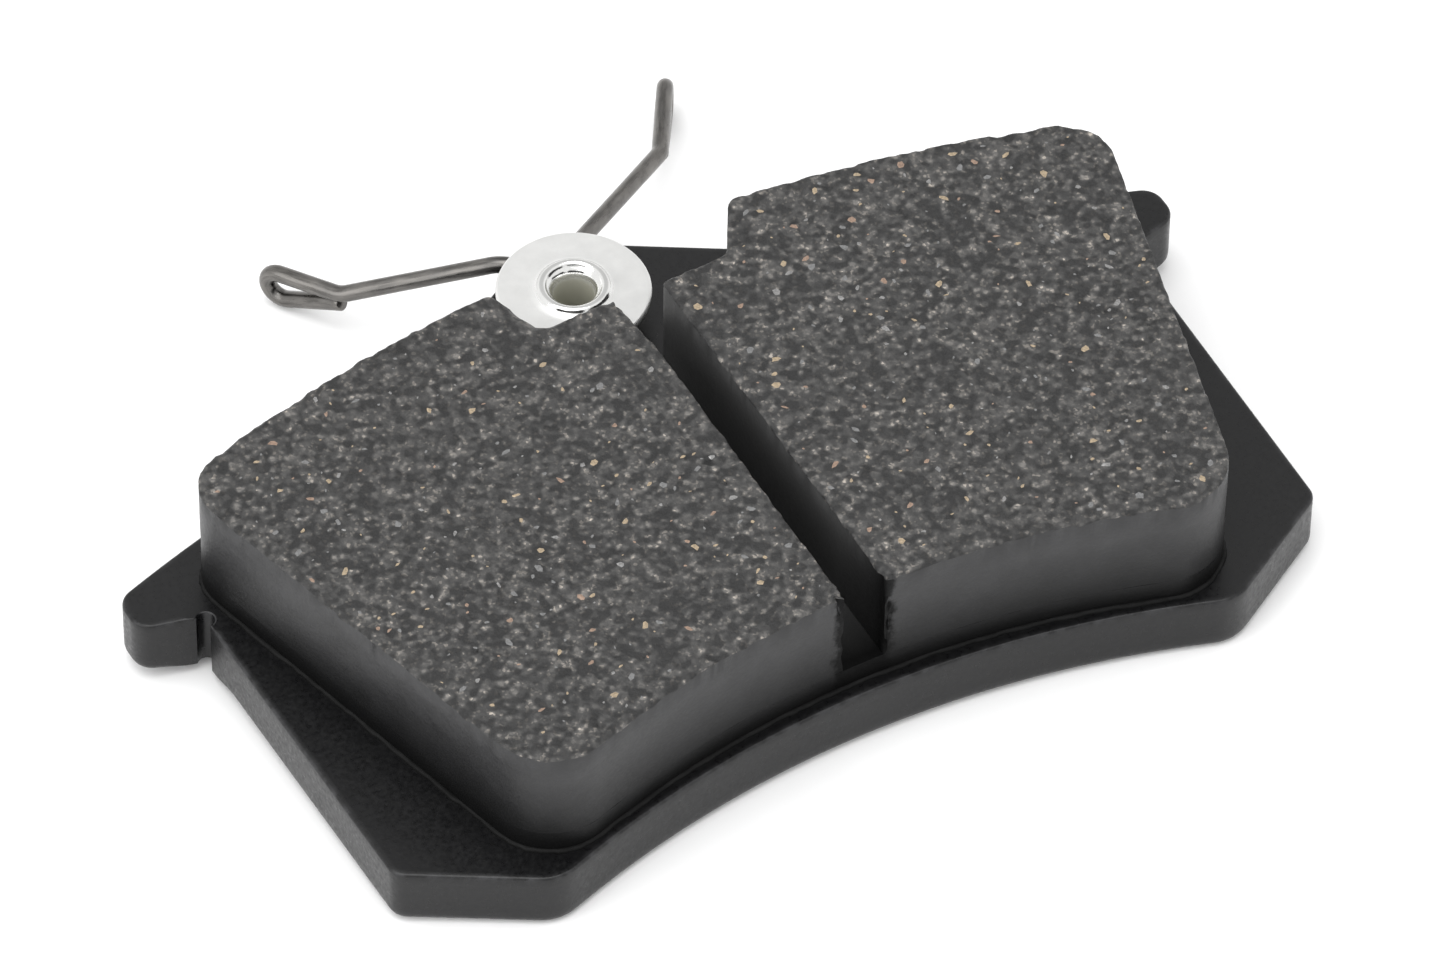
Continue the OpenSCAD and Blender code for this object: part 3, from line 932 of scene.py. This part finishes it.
def bentRun(points, radii, step):
    # straight run through the points, with each inner corner bent to its radius
    run = [points[0]]
    for before, here, after, radius in zip(points, points[1:], points[2:], radii):
        u, w = unit(before - here), unit(after - here)
        half = math.acos(float(np.clip(u @ w, -1, 1))) / 2
        back = radius / math.tan(half)
        first, last = here + u * back, here + w * back
        mid = here + unit(u + w) * radius / math.sin(half)
        lineTo(run, first, step)
        a, b = first - mid, last - mid
        sweep = math.pi - 2 * half
        count = max(3, int(math.ceil(radius * sweep / step)))
        for j in range(1, count + 1):
            t = j / count
            run.append(mid + (a * math.sin((1 - t) * sweep) + b * math.sin(t * sweep))
                       / math.sin(sweep))
    lineTo(run, points[-1], step)
    return run


def sweepWire(name, run, material, freeEnds, startLength=0.0):
    # round wire along a run of points; a free end is cut square with a small bevel
    run = np.array(run)
    keep = np.r_[True, np.linalg.norm(np.diff(run, axis=0), axis=1) > 1e-6]
    run = run[keep]
    ways = np.gradient(run, axis=0)
    ways /= np.linalg.norm(ways, axis=1)[:, None]
    side = unit(np.cross(ways[0], up))
    shell = Shell()
    lengths, rounds, numbers = [], [], []
    travelled = startLength
    radius, count = spring["wireRadius"], spring["sides"]
    turns = [2 * math.pi * j / count for j in range(count)]
    # each place has its point of the run, a shift along the wire and the radius there
    places = [(k, 0.0, radius) for k in range(len(run))]
    bevel = spring["endBevel"]
    if freeEnds[0]:
        places[:1] = [(0, 0.0, radius - bevel), (0, bevel, radius)]
    if freeEnds[1]:
        places[-1:] = [(len(run) - 1, -bevel, radius), (len(run) - 1, 0.0, radius - bevel)]
    last = 0
    for k, shift, size in places:
        if k > last:
            travelled += float(np.linalg.norm(run[k] - run[last]))
            last = k
        side = unit(side - ways[k] * (side @ ways[k]))
        other = np.cross(ways[k], side)
        numbers.append(shell.ring([run[k] + ways[k] * shift
                                   + (side * math.cos(t) + other * math.sin(t)) * size
                                   for t in turns]))
        lengths += [travelled * 0.35] * count
        rounds += [4.0 * abs(math.sin(t / 2)) + 2.0 * math.sin(t) for t in turns]
    shell.walls(numbers)
    shell.faces += [tuple(numbers[0][::-1]), tuple(numbers[-1])]
    shell.slots += [0, 0]
    obj = shell.build(name, [material], 50.0)
    placeNoise("wireLength", lengths, obj)
    placeNoise("wireTurn", rounds, obj)
    return obj


def armRoot(side, z):
    q = spring
    run = math.sqrt(q["armStart"] ** 2 - q["coilRadius"] ** 2)
    x = -math.sin(q["armAngle"]) * q["coilRadius"] + math.cos(q["armAngle"]) * run
    y = math.cos(q["armAngle"]) * q["coilRadius"] + math.sin(q["armAngle"]) * run
    away = vec(side * math.cos(q["armAngle"]), math.sin(q["armAngle"]), 0)
    return vec(*rivet["centre"], 0) + vec(side * x, y, z), away


def buildArm(name, node, side, z, material):
    q = spring
    root, away = armRoot(side, z)
    tip = root + away * q["reach"][side]
    start = vec(tip[0], tip[1], q["hookHeight"])
    leg = q["leg"][side]
    level = vec(side * math.cos(q["heading"]), math.sin(q["heading"]), 0)
    out = level * math.cos(q["rise"]) + up * math.sin(q["rise"])
    down = level * math.sin(q["rise"]) - up * math.cos(q["rise"])
    centre = start + out * leg + down * q["bend"]
    # the arm starts where the coil stops, a little before the wire begins to flex
    run = bentRun([root - away * q["join"], root, start, start + out * leg],
                  [q["rootBend"], q["elbowBend"]], q["step"])
    for k in range(1, q["bendSteps"] + 1):
        a = (math.pi + q["curl"]) * k / q["bendSteps"]
        run.append(centre + (out * math.sin(a) - down * math.cos(a)) * q["bend"])
    back = -out * math.cos(q["curl"]) - down * math.sin(q["curl"])
    lineTo(run, run[-1] + back * leg, q["step"] * 2)
    obj = sweepWire(name, run, material, (False, True))
    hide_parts(node)
    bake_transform(obj)
    return obj


def buildCoil(material):
    q = spring
    leftRoot, leftAway = armRoot(-1, q["highWire"])
    rightRoot, rightAway = armRoot(1, q["lowWire"])
    run = [leftRoot - leftAway * q["join"]]
    sweep = 2 * math.pi - 2 * q["armAngle"]
    turn = []
    for k in range(q["coilSteps"] + 1):
        f = k / q["coilSteps"]
        a = math.pi / 2 - q["armAngle"] - sweep * f
        turn.append(vec(rivet["centre"][0] + q["coilRadius"] * math.cos(a),
                        rivet["centre"][1] + q["coilRadius"] * math.sin(a),
                        q["highWire"] - (q["highWire"] - q["lowWire"]) * eased(f)))
    lineTo(run, turn[0], q["step"] * 2)
    run += turn[1:]
    lineTo(run, rightRoot - rightAway * q["join"], q["step"] * 2)
    obj = sweepWire("springCoil", run, material, (False, False), q["coilLength"])
    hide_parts("spring_coil")
    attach(obj, "coil")


buildPlate()
print("backing plate built")
wallMaterial = frictionWall()
faceMaterials = [frictionFace(), wallMaterial,
                 flakeMaterial("brassFlake", friction["brass"], 0.35, 0.4),
                 flakeMaterial("copperFlake", friction["copper"], 0.35, 0.4),
                 flakeMaterial("steelFlake", friction["steel"], 0.30, 0.6),
                 flakeMaterial("paleGrain", friction["mineral"], 0.55, 0.0)]
buildBond()
buildUnderlayer(wallMaterial)
buildFriction("frictionLeft", "friction_left", -1, faceMaterials)
buildFriction("frictionRight", "friction_right", 1, faceMaterials)
print("lining built")
buildRivet()
wireMaterial = springSteel()
buildCoil(wireMaterial)
hooks = [buildArm("springArmLeft", "spring_arm_left", -1, spring["highWire"],
                  wireMaterial),
         buildArm("springArmRight", "spring_arm_right", 1, spring["lowWire"],
                  wireMaterial)]
print("rivet and spring built")


studio = {
    "floorSize": 4.0, "floorColour": (0.92, 0.92, 0.92), "floorGlow": 0.03,
    "worldLevel": 1.12, "darkLevel": 0.74, "darkWay": (0.33, 0.58, 0.75),
    "darkFrom": 0.76, "darkFull": 0.94,
    "restLine": -25.7, "overheadPower": 2.4, "overheadSize": 0.55,
    "overheadPlace": (-0.10, -0.02, 0.72), "sidePower": 1.3, "sideSize": 0.5,
    "sidePlace": (-0.55, -0.10, 0.35),
}


def areaLight(name, place, size, power):
    light = bpy.data.lights.new(name, "AREA")
    light.shape, light.size, light.energy = "SQUARE", size, power
    obj = bpy.data.objects.new(name, light)
    obj.location = place
    obj.rotation_euler = (-Vector(place)).to_track_quat("-Z", "Y").to_euler()
    bpy.context.scene.collection.objects.link(obj)


def buildFloor():
    q = studio
    # the pad lies on the lower edge of its plate and on the two spring hooks
    lowest = min(v.co.z / (v.co.y - q["restLine"] * mm)
                 for hook in hooks for v in hook.data.vertices)
    half = q["floorSize"] / 2
    mesh = bpy.data.meshes.new("floor")
    mesh.from_pydata([(x, y, lowest * (y - q["restLine"] * mm)) for x, y in
                      ((-half, -half), (half, -half), (half, half), (-half, half))],
                     [], [(0, 1, 2, 3)])
    material, tree, shader = newMaterial("floorPaper")
    tree.links.new(rampNode(tree, grainNode(tree, 3.0, 3.0),
                            [(0.3, scaled(q["floorColour"], 0.99)),
                             (0.7, q["floorColour"])]), shader.inputs["Base Color"])
    shader.inputs["Roughness"].default_value = 0.75
    shader.inputs["Specular IOR Level"].default_value = 0.2
    shader.inputs["Emission Color"].default_value = (1, 1, 1, 1)
    shader.inputs["Emission Strength"].default_value = q["floorGlow"]
    mesh.materials.append(material)
    floor = bpy.data.objects.new("floor", mesh)
    bpy.context.scene.collection.objects.link(floor)


def buildLight():
    q = studio
    world = bpy.data.worlds.new("studio")
    bpy.context.scene.world = world
    world.use_nodes = True
    tree = world.node_tree
    sky = tree.nodes["Background"]
    sky.inputs["Color"].default_value = (1, 1, 1, 1)
    # a dark card behind keeps the flat tops from mirroring the bright room
    ways = addNode(tree, "ShaderNodeTexCoord").outputs["Generated"]
    facing = vectorNode(tree, "DOT_PRODUCT", "Value", ways, q["darkWay"])
    tree.links.new(rangeNode(tree, facing, q["worldLevel"], q["darkLevel"], q["darkFrom"],
                             q["darkFull"]), sky.inputs["Strength"])
    areaLight("overhead", q["overheadPlace"], q["overheadSize"], q["overheadPower"])
    areaLight("sideFill", q["sidePlace"], q["sideSize"], q["sidePower"])
    bpy.context.scene.view_settings.view_transform = "Standard"


camera = {
    "place": (-0.24185, -0.42565, 0.54562), "aim": (0.000494, 0.001444, 0.005),
    "lens": 249.1, "sensor": 36.0, "roll": math.radians(0.863),
}


def buildCamera():
    q = camera
    data = bpy.data.cameras.new("studioCamera")
    data.sensor_fit, data.sensor_width, data.lens = "HORIZONTAL", q["sensor"], q["lens"]
    data.clip_start, data.clip_end = 0.01, 20.0
    forward = (Vector(q["aim"]) - Vector(q["place"])).normalized()
    right = forward.cross(Vector((0, 0, 1))).normalized()
    top = right.cross(forward)
    tiltedRight = right * math.cos(q["roll"]) + top * math.sin(q["roll"])
    tiltedTop = tiltedRight.cross(forward)
    matrix = Matrix((tiltedRight, tiltedTop, -forward)).transposed().to_4x4()
    matrix.translation = q["place"]
    obj = bpy.data.objects.new("studioCamera", data)
    obj.matrix_world = matrix
    bpy.context.scene.collection.objects.link(obj)
    bpy.context.scene.camera = obj


buildFloor()
buildLight()
buildCamera()
print("floor, light and camera placed")
